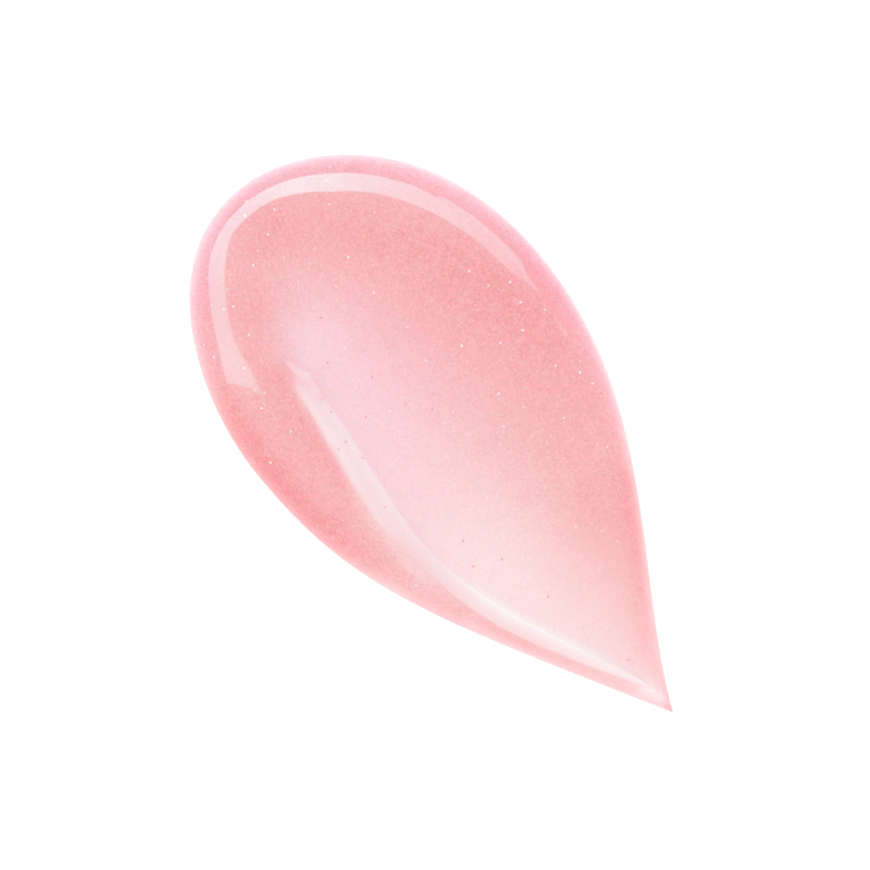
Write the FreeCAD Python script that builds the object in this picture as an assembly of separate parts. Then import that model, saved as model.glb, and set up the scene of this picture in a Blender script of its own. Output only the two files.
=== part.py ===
"""Teardrop smear of shimmering lip gloss: one gel body with its glitter and pearl flakes.

Frame: +X runs along the smear from its round head to its sharp tip, +Z is up, and the
origin is the middle of the flat underside's bounding box. Units are millimetres.
"""

import FreeCAD, Part
import math
import os
import random

Vector = FreeCAD.Vector

# --- Driving dimensions -----------------------------------------------------------------
LENGTH = 32.0                # head to tip
HALF_WIDTH = 8.42            # widest point to the centre line
RIM_HEIGHT = 1.50            # top of the rounded rim round the head
RIM_WIDTH = 2.30             # outline to the top of the rim
RIM_FULLNESS = 2.2           # exponents of the rim's section, steep at the edge, level on top
RIM_EDGE = 0.75
RIM_SWELL = 0.8              # extra rim width where the gloss pooled at the head
SWELL_PLACE = (-9.5, -7.5)
SWELL_REACH = 6.0
TAIL_THINNING = 0.30         # shares of the height and of the rim's width lost towards the tip
TAIL_NARROWING = 0.70
NARROWING_RAMP = (-2.0, 10.0)  # the rim narrows between these two stations
SIDE_NARROWING = 0.35        # share of the rim's width lost along the +Y side
SIDE_START = (-7.0, 2.0)     # the +Y side begins at this X and Y
SIDE_RAMP = (6.0, 4.0)       # and is in full effect this much further along
DISH_SHARE = 0.50            # share of the height missing at the bottom of the dish
# Bezier poles of the wall's Y, from tip to head
WALL_POLES = (-0.19, -1.60, -5.83, -10.00, 3.61, -10.58, 1.71)
WALL_WIDTH = 1.90            # steep wall of the dish, from its top to its foot
WALL_TAPER = 0.15
TOP_EASE = 0.45              # shares of the wall's width that are rounded, at its top and at its foot
FOOT_EASE = 0.20
DISH_END = 0.9               # the dish fades out over this length before the tip
FAR_REACH = 6.40             # far, gentle edge of the dish, from the centre line
FAR_START = 0.25             # the gentle side starts this share of the wall's width past its middle
LEAST_FAR_SPAN = 0.05        # and is never shorter than this, even where the dish ends at the tip
WALL_EASING = (-6.5, -11.0)  # the wall spreads out between these two stations
DISH_SKEW = 1.07
HEAD_RAMP = (-14.0, -7.0)    # the dish deepens between these two stations

RAY_COUNT = 112              # rays from the centre to the outline, four curves' worth
RING_COUNT = 40              # rings from the outline to the centre
RING_CROWDING = 1.9          # above 1, the rings crowd towards the steep edge
FIELD_STEPS = 84             # outline points for each of its four curves, three to a ray
DEGREE = 3                   # of the free surface, both ways

SEED = 7
FLAKE_TILT = 6.0             # degrees that a flake may lean from the surface
# name: (count, width across corners, thickness, height above the gel, number of sides)
FLAKES = {
    "silver_glitter": (44, 0.140, 0.026, 0.011, 6),
    "champagne_glitter": (48, 0.125, 0.024, 0.010, 6),
    "rose_glitter": (44, 0.130, 0.024, 0.010, 6),
    "pearl_platelets": (64, 0.070, 0.014, 0.006, 5),
}
FLAKE_GAP = 0.40             # least distance between the centres of two flakes
EDGE_CLEARANCE = 0.35        # flakes stay this far inside the outline

# --- Outline ----------------------------------------------------------------------------
TIP = (LENGTH / 2.0, -0.40)
TOP = (-4.56, HALF_WIDTH)
HEAD = (-LENGTH / 2.0, -0.57)
BOTTOM = (-4.98, -HALF_WIDTH)
CENTRE = (-3.0, -0.5)


def outline_curves():
    """Four cubic Bezier curves, anticlockwise from the tip back to the tip."""
    return [
        (TIP, (TIP[0] - 6.01, TIP[1] + 2.61), (TOP[0] + 8.74, TOP[1]), TOP),
        (TOP, (TOP[0] - 7.91, TOP[1]), (HEAD[0], HEAD[1] + 3.61), HEAD),
        (HEAD, (HEAD[0], HEAD[1] - 5.46), (BOTTOM[0] - 4.56, BOTTOM[1]), BOTTOM),
        (BOTTOM, (BOTTOM[0] + 7.04, BOTTOM[1]), (TIP[0] - 10.84, TIP[1] - 6.01), TIP),
    ]


def bezier_point(poles, t):
    """Point of a cubic Bezier curve at parameter t from 0 to 1."""
    weights = ((1 - t) ** 3, 3 * (1 - t) ** 2 * t, 3 * (1 - t) * t * t, t ** 3)
    return tuple(sum(w * p[i] for w, p in zip(weights, poles)) for i in (0, 1))


def outline_points(steps):
    """Points round the outline, the tip once, with the given number for each curve."""
    points = []
    for poles in outline_curves():
        points += [bezier_point(poles, k / steps) for k in range(steps)]
    return points


FIELD_POLYGON = outline_points(FIELD_STEPS)


# --- Relief -----------------------------------------------------------------------------
def smooth3(t):
    """Ramp from 0 to 1 that starts and ends level."""
    t = min(max(t, 0.0), 1.0)
    return t * t * (3 - 2 * t)


def eased(t, ease):
    """Zero up to t = 0, then a straight climb that starts smoothly over the given ease."""
    p = min(max(t / ease, 0.0), 1.0)
    return ease * p ** 3 * (1 - p / 2) + max(t - ease, 0.0)


def edge_distance(x, y):
    """Smooth distance to the outline: true near the edge, and free of creases inside."""
    total = 0.0
    ax, ay = FIELD_POLYGON[-1][0] - x, FIELD_POLYGON[-1][1] - y
    ra = math.hypot(ax, ay)
    for px, py in FIELD_POLYGON:
        bx, by = px - x, py - y
        rb = math.hypot(bx, by)
        across = ra * rb + ax * bx + ay * by
        if min(ra, rb) < 1e-9 or across < 1e-12:
            return 0.0
        total += (ax * by - ay * bx) / across * (1 / ra + 1 / rb)
        ax, ay, ra = bx, by, rb
    return max(2.0 / total, 0.0)


def rim(x, y):
    """Height of the gloss without its dish: a rounded rim that runs up to a level top."""
    swell = math.exp(-((x - SWELL_PLACE[0]) ** 2 + (y - SWELL_PLACE[1]) ** 2) / SWELL_REACH ** 2)
    tail = smooth3(x / TIP[0])
    narrowing = smooth3((x - NARROWING_RAMP[0]) / (NARROWING_RAMP[1] - NARROWING_RAMP[0]))
    side = smooth3((x - SIDE_START[0]) / SIDE_RAMP[0]) * smooth3((y - SIDE_START[1]) / SIDE_RAMP[1])
    width = RIM_WIDTH * (1 - TAIL_NARROWING * narrowing) * (1 - SIDE_NARROWING * side) + RIM_SWELL * swell
    u = min(max(1 - edge_distance(x, y) / width, 0.0), 1.0)
    return RIM_HEIGHT * (1 - TAIL_THINNING * tail) * (1 - u ** RIM_FULLNESS) ** RIM_EDGE


def wall_line(x):
    """Y of the middle of the wall's straight part."""
    t = min(max((TIP[0] - x) / LENGTH, 0.0), 1.0)
    order = len(WALL_POLES) - 1
    return sum(
        math.comb(order, k) * t ** k * (1 - t) ** (order - k) * pole for k, pole in enumerate(WALL_POLES)
    )


def dish(x, y):
    """Depth of the dish from 0 to 1: steep on the -Y side, a long slope on the +Y side."""
    t = min(max((TIP[0] - x) / LENGTH, 0.0), 1.0)
    spread = max(math.sin(math.pi * t ** DISH_SKEW), 1e-4)
    wall = wall_line(x)
    far = TIP[1] + FAR_REACH * spread
    easing = smooth3((WALL_EASING[0] - x) / (WALL_EASING[0] - WALL_EASING[1]))
    width = WALL_WIDTH * spread ** WALL_TAPER * (1 + easing)
    foot = wall + FAR_START * width
    across = (y - wall) / width + 0.5 * (1 + TOP_EASE - FOOT_EASE)
    climb = eased(across, TOP_EASE) - eased(across - 1 + FOOT_EASE, FOOT_EASE)
    steep = min(climb / (1 - 0.5 * (TOP_EASE + FOOT_EASE)), 1.0)
    gentle = 1 - smooth3((y - foot) / max(far - foot, LEAST_FAR_SPAN))
    ends = smooth3((x - HEAD_RAMP[0]) / (HEAD_RAMP[1] - HEAD_RAMP[0])) * smooth3((TIP[0] - x) / DISH_END)
    return steep * gentle * ends


def height(x, y):
    """Thickness of the gloss at a point."""
    return rim(x, y) * (1 - DISH_SHARE * dish(x, y))


# --- Gel --------------------------------------------------------------------------------
def sharpen(points):
    """Poles that make a uniform cubic spline pass through the points, very nearly."""
    inner = [b - (a - b * 2 + c) * (1 / 6) for a, b, c in zip(points, points[1:], points[2:])]
    return [points[0]] + inner + [points[-1]]


def transposed(grid):
    """Rows of a grid as columns."""
    return [list(row) for row in zip(*grid)]


def surface_point(end, ring):
    """Point of the free surface on the ray to an outline point, on the given ring."""
    share = (ring / (RING_COUNT - 1)) ** RING_CROWDING
    x = end[0] + (CENTRE[0] - end[0]) * share
    y = end[1] + (CENTRE[1] - end[1]) * share
    return Vector(x, y, height(x, y) if ring else 0.0)


def clamped_knots(pole_count):
    """Knots and multiplicities of a uniform spline that reaches its end poles."""
    multiplicities = [DEGREE + 1] + [1] * (pole_count - DEGREE - 1) + [DEGREE + 1]
    return multiplicities, list(range(len(multiplicities)))


def free_surface():
    """The gloss's skin: rings of points from the outline to the centre, seamed at the tip."""
    ends = outline_points(RAY_COUNT // 4)
    ends.append(ends[0])
    grid = [[surface_point(end, ring) for ring in range(RING_COUNT)] for end in ends]
    poles = [sharpen(ray) for ray in grid]
    poles = transposed([sharpen(ring) for ring in transposed(poles)])
    ray_mults, ray_knots = clamped_knots(len(ends))
    ring_mults, ring_knots = clamped_knots(RING_COUNT)
    surface = Part.BSplineSurface()
    surface.buildFromPolesMultsKnots(
        poles, ray_mults, ring_mults, ray_knots, ring_knots, False, False, DEGREE, DEGREE
    )
    return surface


def gel_body(surface):
    """Solid gel: the skin closed by a flat underside."""
    skin = surface.toShape()
    rest_edges = [e for e in skin.Edges if e.BoundBox.ZMax < 1e-6 and e.Length > 1]
    underside = Part.Face(Part.Wire(rest_edges)).reversed()
    return Part.Solid(Part.Shell([skin, underside]))


# --- Flakes -----------------------------------------------------------------------------
def flake(surface, x, y, width, thickness, proud, sides, rng):
    """One flat platelet seated in the skin, leaning a little at random."""
    u, v = surface.parameter(Vector(x, y, height(x, y)))
    normal = surface.normal(u, v)
    if normal.z < 0:
        normal = -normal
    lean_way = 2 * math.pi * rng.random()
    lean_axis = Vector(math.cos(lean_way), math.sin(lean_way), 0)
    lean = FreeCAD.Rotation(lean_axis, FLAKE_TILT * rng.random())
    turn = FreeCAD.Rotation(Vector(0, 0, 1), 360 * rng.random())
    flat = FreeCAD.Rotation(Vector(0, 0, 1), normal)
    corners = [
        Vector(0.5 * width * math.cos(a), 0.5 * width * math.sin(a), proud - thickness)
        for a in (2 * math.pi * k / sides for k in range(sides))
    ]
    outline = Part.makePolygon(corners + corners[:1])
    platelet = Part.Face(outline).extrude(Vector(0, 0, thickness))
    platelet.Placement = FreeCAD.Placement(surface.value(u, v), flat.multiply(lean).multiply(turn))
    return platelet


def flake_places(count, taken, rng):
    """Random places inside the outline, clear of its edge and of every other flake."""
    places = []
    while len(places) < count:
        x = rng.uniform(HEAD[0], TIP[0])
        y = rng.uniform(BOTTOM[1], TOP[1])
        near = any(math.hypot(x - a, y - b) < FLAKE_GAP for a, b in taken)
        if near or not inside(x, y) or edge_distance(x, y) < EDGE_CLEARANCE:
            continue
        places.append((x, y))
        taken.append((x, y))
    return places


def inside(x, y):
    """Whether a point is inside the outline."""
    crossings = 0
    ax, ay = FIELD_POLYGON[-1]
    for bx, by in FIELD_POLYGON:
        if (ay > y) != (by > y) and x < ax + (y - ay) * (bx - ax) / (by - ay):
            crossings += 1
        ax, ay = bx, by
    return crossings % 2 == 1


def flake_groups(surface):
    """Every kind of flake as a list of separate solids."""
    rng = random.Random(SEED)
    taken = []
    groups = {}
    for name, (count, width, thickness, proud, sides) in FLAKES.items():
        places = flake_places(count, taken, rng)
        groups[name] = [
            flake(surface, x, y, width, thickness, proud, sides, rng) for x, y in places
        ]
    return groups


def main():
    os.makedirs("parts", exist_ok=True)
    surface = free_surface()
    groups = flake_groups(surface)
    every_flake = [piece for pieces in groups.values() for piece in pieces]
    gel = gel_body(surface).cut(every_flake).Solids[0]
    gel.exportStep("parts/gloss_gel.step")
    for name, pieces in groups.items():
        Part.makeCompound(pieces).exportStep(f"parts/{name}.step")


main()
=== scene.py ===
"""Looks of the lip gloss smear: wet pink gel, glitter flakes, fine pearl grain, floor and lights.

The row frame is in metres, +X from the round head to the sharp tip, +Z up. Lengths below are in
millimetres, as on the part, unless a name ends in _M. Angles are in degrees where a name ends in _DEG.
"""

import math

import bpy
import numpy as np
from mathutils import Matrix, Vector


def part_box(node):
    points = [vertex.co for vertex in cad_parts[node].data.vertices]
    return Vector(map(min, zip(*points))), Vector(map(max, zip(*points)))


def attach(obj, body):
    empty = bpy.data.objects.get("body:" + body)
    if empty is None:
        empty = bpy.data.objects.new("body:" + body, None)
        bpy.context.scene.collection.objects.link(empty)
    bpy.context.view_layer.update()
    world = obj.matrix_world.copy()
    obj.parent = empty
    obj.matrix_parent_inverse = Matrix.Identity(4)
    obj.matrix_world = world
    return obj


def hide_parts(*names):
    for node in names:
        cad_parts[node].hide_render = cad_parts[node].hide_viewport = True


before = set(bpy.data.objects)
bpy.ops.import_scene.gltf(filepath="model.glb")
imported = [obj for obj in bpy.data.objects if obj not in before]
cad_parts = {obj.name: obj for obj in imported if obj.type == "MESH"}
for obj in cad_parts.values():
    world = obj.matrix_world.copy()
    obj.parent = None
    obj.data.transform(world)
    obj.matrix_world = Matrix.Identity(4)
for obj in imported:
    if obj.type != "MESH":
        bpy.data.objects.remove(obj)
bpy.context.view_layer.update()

MM = 0.001
LOW, HIGH = (np.array(corner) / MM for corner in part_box("gloss_gel"))
LENGTH = HIGH[0] - LOW[0]
HALF_WIDTH = 0.5 * (HIGH[1] - LOW[1])
RIM_HEIGHT = HIGH[2] - LOW[2]

# --- The gel's shape, the same formulas as on the part ------------------------------------
RIM_WIDTH = 2.30             # outline to the top of the rim
RIM_FULLNESS = 2.2           # exponents of the rim's section, steep at the edge, level on top
RIM_EDGE = 0.75
RIM_SWELL = 0.8              # extra rim width where the gloss pooled at the head
SWELL_PLACE = (-9.5, -7.5)
SWELL_REACH = 6.0
TAIL_THINNING = 0.30         # shares of the height and of the rim's width lost towards the tip
TAIL_NARROWING = 0.70
NARROWING_RAMP = (-2.0, 10.0)  # the rim narrows between these two stations
SIDE_START = (-7.0, 2.0)     # the +Y side begins at this X and Y
SIDE_RAMP = (6.0, 4.0)       # and is in full effect this much further along
SIDE_NARROWING = 0.35        # share of the rim's width lost along the +Y side
DISH_SHARE = 0.50            # share of the height missing at the bottom of the dish
# Bezier poles of the wall's Y, from tip to head
WALL_POLES = (-0.19, -1.60, -5.83, -10.00, 3.61, -10.58, 1.71)
WALL_WIDTH = 1.90            # steep wall of the dish, from its top to its foot
WALL_TAPER = 0.15
TOP_EASE = 0.45              # shares of the wall's width that are rounded, at its top and at its foot
FOOT_EASE = 0.20
DISH_END = 0.9               # the dish fades out over this length before the tip
FAR_REACH = 6.40             # far, gentle edge of the dish, from the centre line
FAR_START = 0.25             # the gentle side starts this share of the wall's width past its middle
LEAST_FAR_SPAN = 0.05        # and is never shorter than this, even where the dish ends at the tip
WALL_EASING = (-6.5, -11.0)  # the wall spreads out between these two stations
DISH_SKEW = 1.07
HEAD_RAMP = (-14.0, -7.0)    # the dish deepens between these two stations

TIP = np.array((0.5 * LENGTH, -0.40))
TOP = np.array((-4.56, HALF_WIDTH))
HEAD = np.array((-0.5 * LENGTH, -0.57))
BOTTOM = np.array((-4.98, -HALF_WIDTH))
CENTRE = np.array((-3.0, -0.5))

RAYS = 560                   # points round the outline
RINGS = 140                  # rings from the outline to the centre
RING_CROWDING = 2.1          # above 1, the rings crowd towards the steep edge
TINY = 1e-12                 # keeps divisions from failing on the outline itself


def outline_points(steps):
    """Points round the outline, anticlockwise from the tip, with steps for each of four curves."""
    curves = (
        (TIP, TIP + (-6.01, 2.61), TOP + (8.74, 0), TOP),
        (TOP, TOP + (-7.91, 0), HEAD + (0, 3.61), HEAD),
        (HEAD, HEAD + (0, -5.46), BOTTOM + (-4.56, 0), BOTTOM),
        (BOTTOM, BOTTOM + (7.04, 0), TIP + (-10.84, -6.01), TIP),
    )
    t = np.linspace(0, 1, steps, endpoint=False)[:, None]
    weights = ((1 - t) ** 3, 3 * (1 - t) ** 2 * t, 3 * (1 - t) * t * t, t ** 3)
    return np.vstack([sum(w * p for w, p in zip(weights, poles)) for poles in curves])


FIELD_POLYGON = outline_points(RAYS // 4)


def smooth3(t):
    """Ramp from 0 to 1 that starts and ends level."""
    t = np.clip(t, 0, 1)
    return t * t * (3 - 2 * t)


def ramp(value, ends):
    """0 at the first end, 1 at the second, and smooth between them."""
    return smooth3((value - ends[0]) / (ends[1] - ends[0]))


def bump(offset, reach):
    """1 at no offset, and less on both sides of it."""
    return np.exp(-(offset / reach) ** 2)


def edge_distance(x, y):
    """Smooth distance to the outline: true near the edge, and free of creases inside."""
    total = np.zeros_like(x)
    closed = np.vstack([FIELD_POLYGON, FIELD_POLYGON[:1]])
    for a, b in zip(closed, closed[1:]):
        ax, ay, bx, by = a[0] - x, a[1] - y, b[0] - x, b[1] - y
        ra = np.hypot(ax, ay) + TINY
        rb = np.hypot(bx, by) + TINY
        across = np.maximum(ra * rb + ax * bx + ay * by, TINY)
        total += (ax * by - ay * bx) / across * (1 / ra + 1 / rb)
    return 2 / np.maximum(total, 1e-6)


def rim(x, y):
    """Height of the gloss without its dish: a rounded rim that runs up to a level top."""
    swell = bump(np.hypot(x - SWELL_PLACE[0], y - SWELL_PLACE[1]), SWELL_REACH)
    tail = smooth3(x / TIP[0])
    narrowing = ramp(x, NARROWING_RAMP)
    side = smooth3((x - SIDE_START[0]) / SIDE_RAMP[0]) * smooth3((y - SIDE_START[1]) / SIDE_RAMP[1])
    width = RIM_WIDTH * (1 - TAIL_NARROWING * narrowing) * (1 - SIDE_NARROWING * side) + RIM_SWELL * swell
    u = np.clip(1 - edge_distance(x, y) / width, 0, 1)
    return RIM_HEIGHT * (1 - TAIL_THINNING * tail) * (1 - u ** RIM_FULLNESS) ** RIM_EDGE


def eased(t, ease):
    """Zero up to t = 0, then a straight climb that starts smoothly over the given ease."""
    p = np.clip(t / ease, 0, 1)
    return ease * p ** 3 * (1 - p / 2) + np.maximum(t - ease, 0)


def wall_line(x):
    """Y of the middle of the wall's straight part."""
    t = np.clip((TIP[0] - x) / LENGTH, 0, 1)
    order = len(WALL_POLES) - 1
    return sum(
        math.comb(order, k) * t ** k * (1 - t) ** (order - k) * pole for k, pole in enumerate(WALL_POLES)
    )


def dish(x, y):
    """Depth of the dish from 0 to 1: steep on the -Y side, a long slope on the +Y side."""
    t = np.clip((TIP[0] - x) / LENGTH, 0, 1)
    spread = np.maximum(np.sin(math.pi * t ** DISH_SKEW), 1e-4)
    wall = wall_line(x)
    far = TIP[1] + FAR_REACH * spread
    width = WALL_WIDTH * spread ** WALL_TAPER * (1 + ramp(x, WALL_EASING))
    foot = wall + FAR_START * width
    across = (y - wall) / width + 0.5 * (1 + TOP_EASE - FOOT_EASE)
    climb = eased(across, TOP_EASE) - eased(across - 1 + FOOT_EASE, FOOT_EASE)
    steep = np.minimum(climb / (1 - 0.5 * (TOP_EASE + FOOT_EASE)), 1)
    gentle = 1 - smooth3((y - foot) / np.maximum(far - foot, LEAST_FAR_SPAN))
    ends = ramp(x, HEAD_RAMP) * smooth3((TIP[0] - x) / DISH_END)
    return steep * gentle * ends


def height(x, y):
    """Thickness of the gloss at a point."""
    return rim(x, y) * (1 - DISH_SHARE * dish(x, y))


def normals(x, y, step=0.01):
    """Unit normals of the free surface, pointing up."""
    slope_x = (height(x + step, y) - height(x - step, y)) / (2 * step)
    slope_y = (height(x, y + step) - height(x, y - step)) / (2 * step)
    n = np.stack([-slope_x, -slope_y, np.ones_like(x)], -1)
    return n / np.linalg.norm(n, axis=-1, keepdims=True)


# --- Studio -------------------------------------------------------------------------------
CAMERA_DISTANCE_M = 0.25
VIEW_WIDTH_M = 0.04088
SENSOR_WIDTH = 36.0
CLIP_RANGE_M = (0.01, 10.0)
AIM = (-1.23, -0.77, 0.0)
PICTURE_TURN_DEG = 50.6      # the picture's right is +X turned by this towards +Y

SHEET_HALF_WIDTH = 2000.0
SHEET_DROP_M = 0.00002       # keeps the sheet clear of the gel's flat underside
SHEET_GLOW = 0.35
WORLD_LIGHT = 1.035
STRIP_RADIUS = 1500.0
STRIP_STEPS = 6              # along a strip, between two stations
STRIP_ROWS = 16              # across a strip
# Curved softboxes on a dome round the object, a row for each station along them: azimuth from +X,
# least lean and greatest lean from straight up, radiance, and the share of the breadth over which
# the upper edge fades into the even light
HEAD_STRIP = np.array((
    (99, 38, 46, 4.0, 0.07),
    (103, 31, 48, 4.4, 0.07),
    (109, 28, 48, 5.0, 0.07),
    (112, 28, 50, 5.0, 0.07),
    (122, 27, 56, 5.5, 0.07),
    (137, 28, 58, 6.7, 0.07),
    (150, 28, 59, 8.4, 0.07),
    (160, 33, 63, 8.8, 0.07),
    (170, 38, 64, 8.4, 0.07),
    (185, 41, 66, 7.4, 0.07),
    (200, 43, 67, 6.7, 0.07),
    (212, 36, 65, 6.0, 0.07),
    (227, 29, 54, 4.6, 0.07),
    (237, 25, 49, 4.6, 0.07),
    (244, 23, 48, 4.9, 0.07),
    (250, 23, 54, 4.9, 0.07),
))
SIDE_STRIP = np.array((
    (80.5, 40, 66, 4.6, 0.10),
    (82.5, 22, 66, 5.3, 0.90),
    (83.5, 24, 66, 5.2, 0.85),
    (84.3, 26, 66, 5.1, 0.60),
    (85.0, 34, 66, 4.9, 0.75),
    (86.0, 43, 62, 4.6, 0.85),
    (88.0, 48, 62, 4.0, 0.85),
    (92.0, 46, 62, 3.6, 0.80),
    (95.0, 41, 64, 4.2, 0.60),
    (98.0, 35, 66, 4.7, 0.30),
    (101, 44, 68, 5.0, 0.06),
    (103, 47, 68, 4.9, 0.06),
    (108, 48, 70, 4.7, 0.06),
    (112, 50, 70, 4.7, 0.06),
    (116, 52, 70, 4.4, 0.06),
))
FLAG_GAP = 0.5               # outline to the flag, a low white card on the +Y side
FLAG_HEIGHTS = (1.8, 2.7)
FLAG_RISE = (-5.2, -4.2)     # its height changes between these two stations
FLAG_ENDS = (-11.0, 3.0)

GLARE_EDGE_DEG = 2.0         # the glare of a strip fades out over this
GLARE_CALM = 0.7             # share of the shimmer that a mirrored light drowns
THIN_CALM = 0.5              # share of it missing where the gel is thin
TAIL_CALM_RAMP = (4.0, 10.0)


def mirrored(x, y):
    """Azimuth and lean, in degrees, of what the camera sees mirrored at each point."""
    place = np.stack([x, y, height(x, y)], -1)
    sight = np.array(AIM) + (0, 0, CAMERA_DISTANCE_M / MM) - place
    sight /= np.linalg.norm(sight, axis=-1, keepdims=True)
    n = normals(x, y)
    seen = 2 * (n * sight).sum(-1, keepdims=True) * n - sight
    return np.degrees(np.arctan2(seen[:, 1], seen[:, 0])) % 360, np.degrees(np.arccos(seen[:, 2]))


def glare(x, y):
    """1 where the camera sees a strip light mirrored, and 0 elsewhere."""
    azimuth, lean = mirrored(x, y)
    shine = np.zeros_like(x)
    for strip in (HEAD_STRIP, SIDE_STRIP):
        least = np.interp(azimuth, strip[:, 0], strip[:, 1], left=180, right=180)
        greatest = np.interp(azimuth, strip[:, 0], strip[:, 2], left=0, right=0)
        inside_deg = np.minimum(lean - least, greatest - lean)
        shine = np.maximum(shine, smooth3(1 + inside_deg / GLARE_EDGE_DEG))
    return shine


def sparkle(x, y):
    """How much of the shimmer shows: less in the dish and the tail, and least in a mirrored light."""
    thin = np.minimum(dish(x, y) + ramp(x, TAIL_CALM_RAMP), 1)
    return (1 - GLARE_CALM * glare(x, y)) * (1 - THIN_CALM * thin)


# --- Mesh helpers -------------------------------------------------------------------------
def new_piece(name, vertices_mm, faces, material, smooth):
    """A mesh object from points in millimetres."""
    mesh = bpy.data.meshes.new(name)
    mesh.from_pydata((np.asarray(vertices_mm) * MM).tolist(), [], faces)
    mesh.update()
    mesh.polygons.foreach_set("use_smooth", [smooth] * len(mesh.polygons))
    mesh.materials.append(material)
    piece = bpy.data.objects.new(name, mesh)
    bpy.context.scene.collection.objects.link(piece)
    return piece


def ring_faces(rays, rings):
    """Quads between rings of points that run the same way, closed round each ring."""
    faces = []
    for k in range(rings - 1):
        for i in range(rays):
            j = (i + 1) % rays
            faces.append((k * rays + i, k * rays + j, (k + 1) * rays + j, (k + 1) * rays + i))
    return faces


def sheet_faces(rows, columns):
    """Quads of an open grid of points."""
    return [
        (k * columns + i, k * columns + i + 1, (k + 1) * columns + i + 1, (k + 1) * columns + i)
        for k in range(rows - 1) for i in range(columns - 1)
    ]


# --- Materials ----------------------------------------------------------------------------
class Nodes:
    """A material's node tree, with short ways to add nodes and join them."""

    def __init__(self, name):
        self.material = bpy.data.materials.new(name)
        self.material.use_nodes = True
        self.tree = self.material.node_tree
        self.shader = self.tree.nodes["Principled BSDF"]

    def add(self, kind, **inputs):
        """A new node, with its inputs set by name to values or to other sockets."""
        node = self.tree.nodes.new(kind)
        self.join(node, **inputs)
        return node

    def join(self, node, **inputs):
        """Sets inputs to values or sockets: names have _ for spaces, and _0 is the first input."""
        for name, value in inputs.items():
            key = int(name[1:]) if name[1:].isdigit() else name.replace("_", " ")
            socket = node.inputs[key]
            if isinstance(value, bpy.types.NodeSocket):
                self.tree.links.new(value, socket)
            else:
                socket.default_value = value

    def attribute(self, name):
        """Output of a vertex attribute."""
        node = self.add("ShaderNodeAttribute")
        node.attribute_name = name
        return node.outputs["Fac"]

    def math(self, operation, a, b=0.0):
        """Output of a math node."""
        node = self.add("ShaderNodeMath", _0=a, _1=b)
        node.operation = operation
        return node.outputs[0]

    def mix(self, factor, a, b):
        """Output of a colour mix."""
        node = self.tree.nodes.new("ShaderNodeMix")
        node.data_type = "RGBA"
        for index, value in ((0, factor), (6, a), (7, b)):
            if isinstance(value, bpy.types.NodeSocket):
                self.tree.links.new(value, node.inputs[index])
            else:
                node.inputs[index].default_value = value
        return node.outputs[2]


def srgb(r, g, b):
    """Linear RGBA of an 8-bit display colour."""
    def linear(c):
        c /= 255
        return c / 12.92 if c <= 0.04045 else ((c + 0.055) / 1.055) ** 2.4
    return (linear(r), linear(g), linear(b), 1.0)


BASE_ROUGHNESS = 0.40
COAT_ROUGHNESS = 0.03
COAT_IOR = 1.48
SCATTER_REACH_M = 0.0005
SCATTER_COLOURS = (1.0, 0.45, 0.5)
GRAIN_SIZE = 0.10            # shimmer grains in the gel
MOTTLES_PER_M = 1300.0       # softer, larger blotches among them
SHIMMER = 0.19               # how far the optical depth wanders from grain to grain
SPECKLE_GREY = 0.090         # and how much of all colours a grain may take away
RED_SHARE = 0.060            # absorption of red, as a share of green's
BLUE_SHARE = 0.95
BLUE_WANDER = 0.10
COOLING = 0.18               # how far the absorption of blue falls where the pink is cool
PATCHES_PER_M = 2500.0       # patches of film, each flake in another


def gel_material(name, depth_share=1.0, blue_share=BLUE_SHARE, scatter=0.0):
    """Wet pink gel: the colour deepens with optical depth, painted shade and sheen included, with a fine
    shimmer below a smooth skin.

    depth_share: below 1 for the paler grains and above 1 for the darker ones. scatter: share of
    the light that travels below the skin, 0 for grains, which are too thin for it.
    """
    n = Nodes(name)
    place = n.add("ShaderNodeTexCoord").outputs["Object"]
    grain = n.add("ShaderNodeTexVoronoi", Vector=place, Scale=1 / (GRAIN_SIZE * MM))
    cell = n.add("ShaderNodeSeparateXYZ", _0=grain.outputs["Color"]).outputs
    mottle = n.add("ShaderNodeTexNoise", Vector=place, Scale=MOTTLES_PER_M, Detail=2.0)
    sparkling = n.attribute("sparkle")
    speckle = n.math("SUBTRACT", n.math("ADD", cell[0], mottle.outputs["Fac"]), 1.0)
    wander = n.math("MULTIPLY", n.math("MULTIPLY", speckle, sparkling), SHIMMER)
    depth = n.math("MULTIPLY", n.attribute("depth_with_painted_light"), n.math("ADD", wander, 1.0))
    depth = n.math("MULTIPLY", depth, depth_share)
    blue = n.math("SUBTRACT", blue_share, n.math("MULTIPLY", n.attribute("coolness"), COOLING))
    blue = n.math("ADD", blue, n.math("MULTIPLY", n.math("SUBTRACT", cell[1], 0.5), BLUE_WANDER))
    grey = n.math("MULTIPLY", n.math("SUBTRACT", cell[2], 0.5), sparkling)
    grey = n.math("MULTIPLY", grey, SPECKLE_GREY)

    def passed(share):
        """Share of the light that the gel lets through, where it absorbs a share of the depth."""
        absorbed = n.math("ADD", n.math("MULTIPLY", depth, share), grey)
        return n.math("EXPONENT", n.math("MULTIPLY", absorbed, -1.0))

    colour = n.add("ShaderNodeCombineXYZ", _0=passed(RED_SHARE), _1=passed(1.0), _2=passed(blue))
    n.join(
        n.shader,
        Base_Color=colour.outputs[0],
        Roughness=BASE_ROUGHNESS,
        Specular_IOR_Level=0.0,
        Subsurface_Weight=scatter,
        Subsurface_Radius=SCATTER_COLOURS,
        Subsurface_Scale=SCATTER_REACH_M,
        Coat_Weight=1.0,
        Coat_Roughness=COAT_ROUGHNESS,
        Coat_IOR=COAT_IOR,
    )
    return n.material


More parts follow.
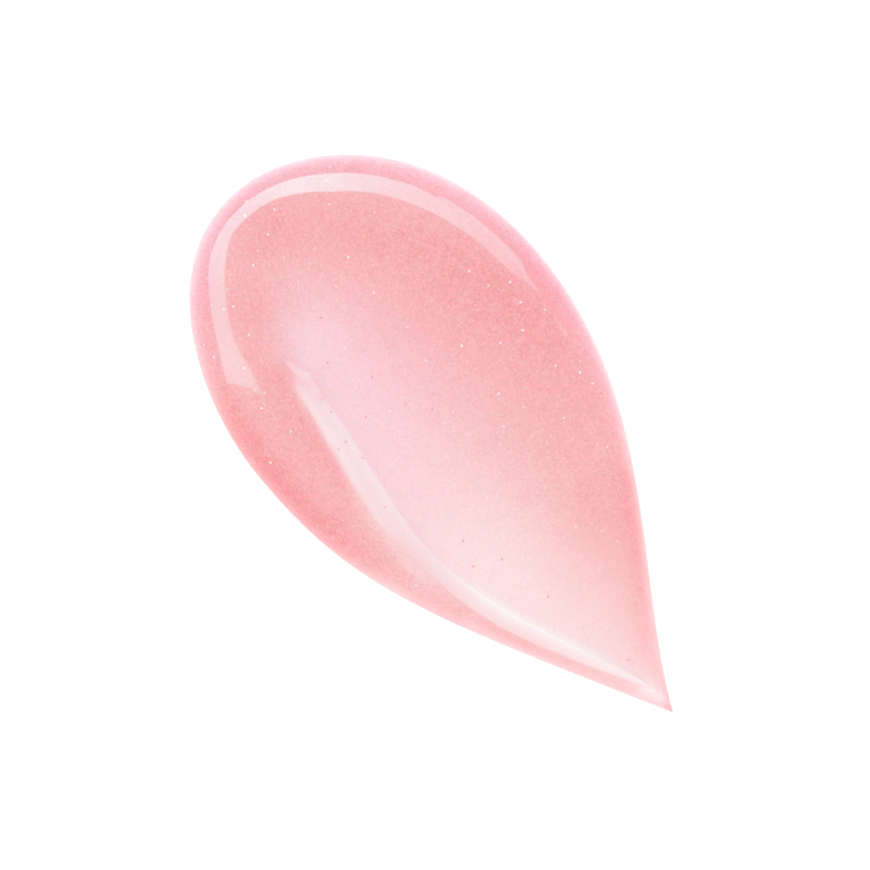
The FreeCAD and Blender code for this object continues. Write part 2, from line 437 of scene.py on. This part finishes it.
def flake_material(name, light, dark):
    """Flake film under the wet skin, each flake a little lighter or darker than the next."""
    n = Nodes(name)
    place = n.add("ShaderNodeTexCoord").outputs["Object"]
    patch = n.add("ShaderNodeTexVoronoi", Vector=place, Scale=PATCHES_PER_M)
    shade = n.add("ShaderNodeSeparateXYZ", _0=patch.outputs["Color"]).outputs[0]
    n.join(
        n.shader,
        Base_Color=n.mix(shade, light, dark),
        Roughness=BASE_ROUGHNESS,
        Coat_Weight=1.0,
        Coat_Roughness=COAT_ROUGHNESS,
        Coat_IOR=COAT_IOR,
    )
    return n.material


# --- Tint ---------------------------------------------------------------------------------
# A name that ends in _RAMP holds two stations: what it rules grows from none at the first to full
# at the second. Depths are optical depths.
ABSORPTION = 0.585           # depth of a millimetre of gel
TAIL_CLEARING = 0.42         # share of the depth lost towards the tip
TAIL_CLEARING_RAMP = (8.0, 16.0)
EDGE_DEPTH = 0.22            # extra depth of the rim's steep side
EDGE_PLACE = 0.6             # outline to its middle
EDGE_SPREAD = 0.4
EDGE_LOSS = 0.6              # shares of it lost towards the tail, and again on the -Y side there
EDGE_LOSS_RAMP = (-5.0, 1.0)
LOW_EDGE_LOSS = 0.4
LOW_EDGE_RAMP = (3.0, 7.0)
LOW_SIDE_RAMP = (0.0, -2.0)  # in Y
FILM_DEPTH = 0.27            # extra depth at the very edge
FILM_REACH = 0.45
FILM_LIP = 0.04              # the film starts with none over this
TAIL_FILM = 0.35             # more of it along the tail, where the edge is steepest
TAIL_FILM_REACH = 0.16
TAIL_FILM_RAMP = (0.0, 6.0)
SIDE_FILM = 0.08             # and along the gentle side
SIDE_FILM_PLACE = 0.25
SIDE_FILM_REACH = 0.30
SIDE_FILM_RAMP = (-6.0, -2.0)
SIDE_FILM_Y_RAMP = (0.0, 3.0)
SHADE_DEPTH = 0.42           # painted shade: extra depth of the side that faces away from the light
SHADE_FACING = 1.3           # and how fast it comes as the skin turns away
SHADE_WIDTH_RAMP = (1.9, 0.9)  # in distance to the outline
SHADE_HEAD_RAMP = (-13.0, -5.0)
SHADE_TAIL_RAMP = (4.0, -1.0)
SHOULDER_PAINTED_SHEEN = 0.25         # painted sheen: depth missing on the shoulder above the dish's steep wall
SHOULDER_HEAD_RAMP = (-7.5, -6.5)
SHOULDER_TAIL_RAMP = (7.5, 4.5)
SHOULDER_OFFSET = (-0.38, -0.72)  # from the wall's middle, on the head's side and on the tail's
SHOULDER_REACH = (0.34, 0.50)
SHOULDER_TURN_RAMP = (-3.5, -0.5)  # from the head's offset and reach to the tail's
FOOT_PAINTED_SHEEN = 0.12             # painted sheen: depth missing along the foot of the wall, in the tail
FOOT_OFFSET = 0.55
FOOT_REACH = 0.20
FOOT_HEAD_RAMP = (3.0, 6.0)
FOOT_TAIL_RAMP = (14.0, 11.0)
# x, y, reach, extra depth: softly deeper and paler places, from head to tip; some are painted light,
# marked below
TINT_SPOTS = (
    (-14.0, -0.8, 1.5, 0.15),
    (-12.9, -5.6, 2.0, 0.10),
    (-11.5, -1.5, 2.5, -0.06),
    (-10.8, -3.2, 1.2, 0.12),
    (-9.0, -2.0, 1.6, -0.05),
    (-8.0, -8.0, 4.0, 0.06),
    (-7.9, -4.45, 0.5, 0.10),
    # painted shade: these two dim the wall's highlight where it begins
    (-6.9, -3.7, 0.4, 0.15),
    (-6.0, -3.8, 0.25, 0.15),
    (-4.5, 8.0, 4.0, 0.13),
    (0.5, -6.2, 1.8, -0.02),
    (1.0, 1.5, 6.0, -0.045),
    (4.6, 5.6, 1.4, -0.10),
    (5.0, -2.2, 4.0, -0.12),
    (5.4, -5.6, 1.3, 0.17),
    (6.2, 3.0, 2.0, 0.09),
    (9.5, 0.8, 2.5, -0.02),
    (12.5, -0.3, 2.2, 0.07),
    # painted highlight: these two are the end of the wall's shine by the tip
    (14.3, -0.8, 0.5, -0.18),
    (15.0, -0.5, 0.4, -0.18),
)
COOL_EDGE_REACH = 0.9        # the cooler pink of the thin edge
COOL_EDGE_RAMP = (8.0, -4.0)
COOL_EDGE_Y_RAMP = (-7.5, -5.0)
COOL_BED = 0.8               # and of the dish
COOL_BED_RAMP = (6.0, -6.0)


def set_attribute(piece, name, values):
    """A number for every vertex, for the material to read."""
    attribute = piece.data.attributes.new(name, "FLOAT", "POINT")
    attribute.data.foreach_set("value", np.asarray(values, np.float32))


def wall_painted_sheen(x, y):
    """Painted sheen beside the dish's steep wall: depth missing on the shoulder above it and at its foot.
    """
    past_wall = y - wall_line(x)
    tailward = ramp(x, SHOULDER_TURN_RAMP)
    offset = SHOULDER_OFFSET[0] + (SHOULDER_OFFSET[1] - SHOULDER_OFFSET[0]) * tailward
    reach = SHOULDER_REACH[0] + (SHOULDER_REACH[1] - SHOULDER_REACH[0]) * tailward
    shoulder = SHOULDER_PAINTED_SHEEN * bump(past_wall - offset, reach)
    shoulder *= ramp(x, SHOULDER_HEAD_RAMP) * ramp(x, SHOULDER_TAIL_RAMP)
    foot = FOOT_PAINTED_SHEEN * bump(past_wall - FOOT_OFFSET, FOOT_REACH)
    foot *= ramp(x, FOOT_HEAD_RAMP) * ramp(x, FOOT_TAIL_RAMP)
    return shoulder + foot


def edge_film(x, y, distance):
    """Extra depth of the thin edge, where the light crosses the skin at a low angle."""
    film = FILM_DEPTH * bump(distance, FILM_REACH)
    film += TAIL_FILM * bump(distance, TAIL_FILM_REACH) * ramp(x, TAIL_FILM_RAMP)
    side = ramp(x, SIDE_FILM_RAMP) * ramp(y, SIDE_FILM_Y_RAMP)
    film += SIDE_FILM * bump(distance - SIDE_FILM_PLACE, SIDE_FILM_REACH) * side
    return film * smooth3(distance / FILM_LIP)


def depth_with_painted_light(x, y):
    """How deep the gel's pink is at each point: its thickness and edges, with painted shade, painted sheen
    and painted highlight mixed in.
    """
    distance = edge_distance(x, y)
    edge = EDGE_DEPTH * bump(distance - EDGE_PLACE, EDGE_SPREAD)
    low_side = ramp(x, LOW_EDGE_RAMP) * ramp(y, LOW_SIDE_RAMP)
    edge *= 1 - EDGE_LOSS * ramp(x, EDGE_LOSS_RAMP) - LOW_EDGE_LOSS * low_side
    # painted shade: the side that faces away from the light gets a deeper pink
    painted_shade = SHADE_DEPTH * smooth3(-SHADE_FACING * normals(x, y)[:, 1])
    painted_shade *= ramp(distance, SHADE_WIDTH_RAMP) * ramp(x, SHADE_HEAD_RAMP) * ramp(x, SHADE_TAIL_RAMP)
    clearing = 1 - TAIL_CLEARING * ramp(x, TAIL_CLEARING_RAMP)
    depth = (ABSORPTION * height(x, y) + edge + painted_shade - wall_painted_sheen(x, y)) * clearing
    depth += edge_film(x, y, distance)
    for spot_x, spot_y, reach, extra in TINT_SPOTS:
        depth += extra * bump(np.hypot(x - spot_x, y - spot_y), reach)
    return depth


def coolness(x, y):
    """0 for warm pink, 1 for the cooler pink of the thin edge and of the head's end of the dish."""
    edge = bump(edge_distance(x, y), COOL_EDGE_REACH)
    edge *= ramp(x, COOL_EDGE_RAMP) * ramp(y, COOL_EDGE_Y_RAMP)
    bed = COOL_BED * dish(x, y) * ramp(x, COOL_BED_RAMP)
    return np.clip(edge + bed, 0, 1)


def set_tint(piece, x, y, repeats=1):
    """Gives the vertices what the gel's colour depends on, each place serving a run of them."""
    set_attribute(piece, "depth_with_painted_light", np.repeat(depth_with_painted_light(x, y), repeats))
    set_attribute(piece, "coolness", np.repeat(coolness(x, y), repeats))
    set_attribute(piece, "sparkle", np.repeat(sparkle(x, y), repeats))


# --- Pieces -------------------------------------------------------------------------------
SEED = 11
GEL_SCATTER = 0.3
GRAIN_THICKNESS = 0.010
GRAIN_PROUD = 0.002          # height above the gel
GRAIN_LEAN_DEG = 1.0
GRAIN_SIDES = 5
GRAIN_CLEARANCE = 0.25       # grains stay this far inside the outline
GRAIN_SPREAD = (0.6, 1.2)    # the smallest and the largest, as shares of their usual width
CORNER_SPREAD = (0.8, 1.1)   # and the same for the reach of one corner
# name, slot, share of the gel's depth, share of blue in it, count, usual width
GRAINS = (
    ("pale_grain", "pearl_mica", 0.84, 0.95, 6000, 0.105),
    ("peach_grain", "champagne_film", 0.90, 1.12, 4500, 0.100),
    ("rose_grain", "rose_film", 1.11, 0.96, 5000, 0.095),
)
# light and dark display colours of each kind of flake
FLAKE_COLOURS = {
    "silver_glitter": ((255, 228, 234), (252, 206, 214)),
    "champagne_glitter": ((255, 220, 208), (252, 200, 190)),
    "rose_glitter": ((247, 176, 188), (243, 164, 176)),
    "pearl_platelets": ((255, 224, 226), (253, 208, 214)),
}


def gel_piece():
    """The gel body: rings of points over the whole free surface, and a flat underside."""
    ends = outline_points(RAYS // 4)
    share = (np.arange(RINGS) / RINGS) ** RING_CROWDING
    points = ends[None] + (CENTRE - ends)[None] * share[:, None, None]
    x, y = points[..., 0], points[..., 1]
    z = height(x, y)
    z[0] = 0
    top = np.stack([x.ravel(), y.ravel(), z.ravel()], -1)
    centre_z = float(height(*CENTRE[:, None])[0])
    vertices = np.vstack([top, [[*CENTRE, centre_z]], [[*CENTRE, 0.0]]])
    centre, foot = len(top), len(top) + 1
    last = (RINGS - 1) * RAYS
    faces = ring_faces(RAYS, RINGS)
    faces += [(last + i, last + (i + 1) % RAYS, centre) for i in range(RAYS)]
    faces += [((i + 1) % RAYS, i, foot) for i in range(RAYS)]
    material = gel_material("pink_gel", scatter=GEL_SCATTER)
    piece = new_piece("wet_gel", vertices, faces, material, True)
    set_tint(piece, vertices[:, 0], vertices[:, 1])
    for polygon in piece.data.polygons[-RAYS:]:
        polygon.use_smooth = False
    piece.data.update()
    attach(piece, "root")
    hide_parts("gloss_gel")


def film_flakes():
    """Gives the flakes of the CAD their film."""
    for node, (light, dark) in FLAKE_COLOURS.items():
        film = flake_material(node + "_film", srgb(*light), srgb(*dark))
        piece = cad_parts[node]
        piece.data.materials.clear()
        piece.data.materials.append(film)


def inside(points):
    """Which points are inside the outline."""
    odd = np.zeros(len(points), bool)
    x, y = points.T
    closed = np.vstack([FIELD_POLYGON, FIELD_POLYGON[:1]])
    for (ax, ay), (bx, by) in zip(closed, closed[1:]):
        if ay == by:
            continue
        odd ^= ((ay > y) != (by > y)) & (x < ax + (y - ay) * (bx - ax) / (by - ay))
    return odd


def grain_places(count, rng):
    """Random places on the free surface, clear of its edge, more of them where it sparkles more."""
    kept = np.zeros((0, 2))
    while len(kept) < count:
        trial = rng.uniform(LOW[:2], HIGH[:2], (4 * count, 2))
        trial = trial[inside(trial)]
        shown = rng.uniform(0, 1, len(trial)) < sparkle(*trial.T)
        kept = np.vstack([kept, trial[(edge_distance(*trial.T) > GRAIN_CLEARANCE) & shown]])
    return kept[:count]


def prism_faces(count):
    """Faces of many closed prisms, each a run of its top corners and then its lower ones."""
    cap = tuple(range(GRAIN_SIDES))
    one = [tuple(reversed(cap)), tuple(GRAIN_SIDES + k for k in cap)]
    for k in cap:
        j = (k + 1) % GRAIN_SIDES
        one.append((j, GRAIN_SIDES + j, GRAIN_SIDES + k, k))
    return [tuple(2 * GRAIN_SIDES * i + k for k in face) for i in range(count) for face in one]


def grain_piece(name, material, count, width, rng):
    """Many tiny closed platelets, each seated in the skin and leaning a little."""
    x, y = grain_places(count, rng).T
    up = normals(x, y) + rng.normal(0, math.radians(GRAIN_LEAN_DEG) / 2, (count, 3))
    up /= np.linalg.norm(up, axis=1, keepdims=True)
    side = np.cross(up, (0.0, 1.0, 0.0))
    side /= np.linalg.norm(side, axis=1, keepdims=True)
    other = np.cross(up, side)
    centre = np.stack([x, y, height(x, y)], -1)
    turn = rng.uniform(0, 2 * math.pi, count)
    size = 0.5 * width * rng.uniform(*GRAIN_SPREAD, count)
    corners = []
    for k in range(GRAIN_SIDES):
        a = turn + 2 * math.pi * k / GRAIN_SIDES
        reach = size * rng.uniform(*CORNER_SPREAD, count)
        corners.append(centre + (np.cos(a) * reach)[:, None] * side + (np.sin(a) * reach)[:, None] * other)
    corners = np.stack(corners, 1)
    top = corners + GRAIN_PROUD * up[:, None]
    low = corners + (GRAIN_PROUD - GRAIN_THICKNESS) * up[:, None]
    vertices = np.concatenate([top, low], 1).reshape(-1, 3)
    piece = new_piece(name, vertices, prism_faces(count), material, False)
    set_tint(piece, x, y, 2 * GRAIN_SIDES)
    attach(piece, "root")


# --- Stage --------------------------------------------------------------------------------
def floor_piece():
    """Plain white sheet, lit a little from behind so that it stays white round the gel."""
    n = Nodes("white_sheet")
    n.join(
        n.shader,
        Base_Color=(0.8, 0.8, 0.8, 1),
        Roughness=0.9,
        Emission_Color=(1, 1, 1, 1),
        Emission_Strength=SHEET_GLOW,
    )
    signs = ((-1, -1), (1, -1), (1, 1), (-1, 1))
    corners = [(a * SHEET_HALF_WIDTH, b * SHEET_HALF_WIDTH, 0) for a, b in signs]
    piece = new_piece("sheet", corners, [(0, 1, 2, 3)], n.material, False)
    piece.location.z = -SHEET_DROP_M


def world_light():
    """Even white light from all round."""
    world = bpy.data.worlds.new("studio")
    world.use_nodes = True
    background = world.node_tree.nodes["Background"]
    background.inputs["Color"].default_value = (1, 1, 1, 1)
    background.inputs["Strength"].default_value = WORLD_LIGHT
    bpy.context.scene.world = world


def lamp_material(name):
    """Cool glow, no redder than the even light, whose brightness is carried by the vertices."""
    n = Nodes(name)
    glow = n.attribute("glow")
    n.join(
        n.shader,
        Base_Color=(0, 0, 0, 1),
        Emission_Color=n.add("ShaderNodeCombineXYZ", _0=WORLD_LIGHT, _1=glow, _2=glow).outputs[0],
        Emission_Strength=1.0,
    )
    return n.material


def only_in_reflections(piece):
    """Stages a piece that nothing but a shiny skin can see."""
    piece.visible_camera = False
    piece.visible_diffuse = False
    piece.visible_transmission = False
    piece.visible_shadow = False


def strip_light(name, stations):
    """Curved softbox on a dome round the object, which only the gloss's shine can see."""
    fine = np.linspace(0, len(stations) - 1, STRIP_STEPS * (len(stations) - 1) + 1)
    azimuth, least, greatest, radiance, feather = (
        np.interp(fine, np.arange(len(stations)), column)[:, None] for column in stations.T
    )
    azimuth = np.radians(azimuth)
    across = np.linspace(0, 1, STRIP_ROWS + 1)
    lean = np.radians(least + (greatest - least) * across)
    points = STRIP_RADIUS * np.stack([
        np.sin(lean) * np.cos(azimuth),
        np.sin(lean) * np.sin(azimuth),
        np.cos(lean),
    ], -1)
    piece = new_piece(
        name,
        points.reshape(-1, 3),
        sheet_faces(len(fine), STRIP_ROWS + 1),
        lamp_material(name),
        True,
    )
    glow = WORLD_LIGHT + (radiance - WORLD_LIGHT) * smooth3(across / feather)
    set_attribute(piece, "glow", glow.ravel())
    only_in_reflections(piece)


def flag():
    """Low white card beyond the gentle side, which keeps the side light off that rim."""
    ends = outline_points(RAYS // 4)
    ahead = np.roll(ends, -1, 0) - np.roll(ends, 1, 0)
    outward = np.stack([ahead[:, 1], -ahead[:, 0]], -1)
    outward /= np.linalg.norm(outward, axis=1, keepdims=True)
    used = (ends[:, 0] > FLAG_ENDS[0]) & (ends[:, 0] < FLAG_ENDS[1]) & (ends[:, 1] > 0)
    foot = (ends + FLAG_GAP * outward)[used]
    low, high = FLAG_HEIGHTS
    top = low + (high - low) * ramp(foot[:, 0], FLAG_RISE)
    points = np.stack([np.column_stack([foot, 0 * top]), np.column_stack([foot, top])], 1)
    points = points.reshape(-1, 3)
    piece = new_piece("flag", points, sheet_faces(len(foot), 2), lamp_material("flag"), True)
    set_attribute(piece, "glow", np.full(len(points), WORLD_LIGHT))
    only_in_reflections(piece)


def camera():
    """Straight down, with the smear's tail pointing to the lower right."""
    data = bpy.data.cameras.new("camera")
    data.sensor_width = SENSOR_WIDTH
    data.lens = SENSOR_WIDTH * CAMERA_DISTANCE_M / VIEW_WIDTH_M
    data.clip_start, data.clip_end = CLIP_RANGE_M
    view = bpy.data.objects.new("camera", data)
    turn = math.radians(PICTURE_TURN_DEG)
    right = Vector((math.cos(turn), math.sin(turn), 0))
    up = Vector((-math.sin(turn), math.cos(turn), 0))
    matrix = Matrix((right, up, Vector((0, 0, 1)))).transposed().to_4x4()
    matrix.translation = Vector(AIM) * MM + Vector((0, 0, CAMERA_DISTANCE_M))
    view.matrix_world = matrix
    bpy.context.scene.collection.objects.link(view)
    bpy.context.scene.camera = view


def main():
    rng = np.random.default_rng(SEED)
    gel_piece()
    film_flakes()
    for name, slot, depth_share, blue_share, count, width in GRAINS:
        material = gel_material(name + "_film", depth_share, blue_share)
        grain_piece(name, material, count, width, rng)
    floor_piece()
    world_light()
    strip_light("head_strip", HEAD_STRIP)
    strip_light("side_strip", SIDE_STRIP)
    flag()
    camera()
    bpy.context.scene.view_settings.view_transform = "Standard"


main()
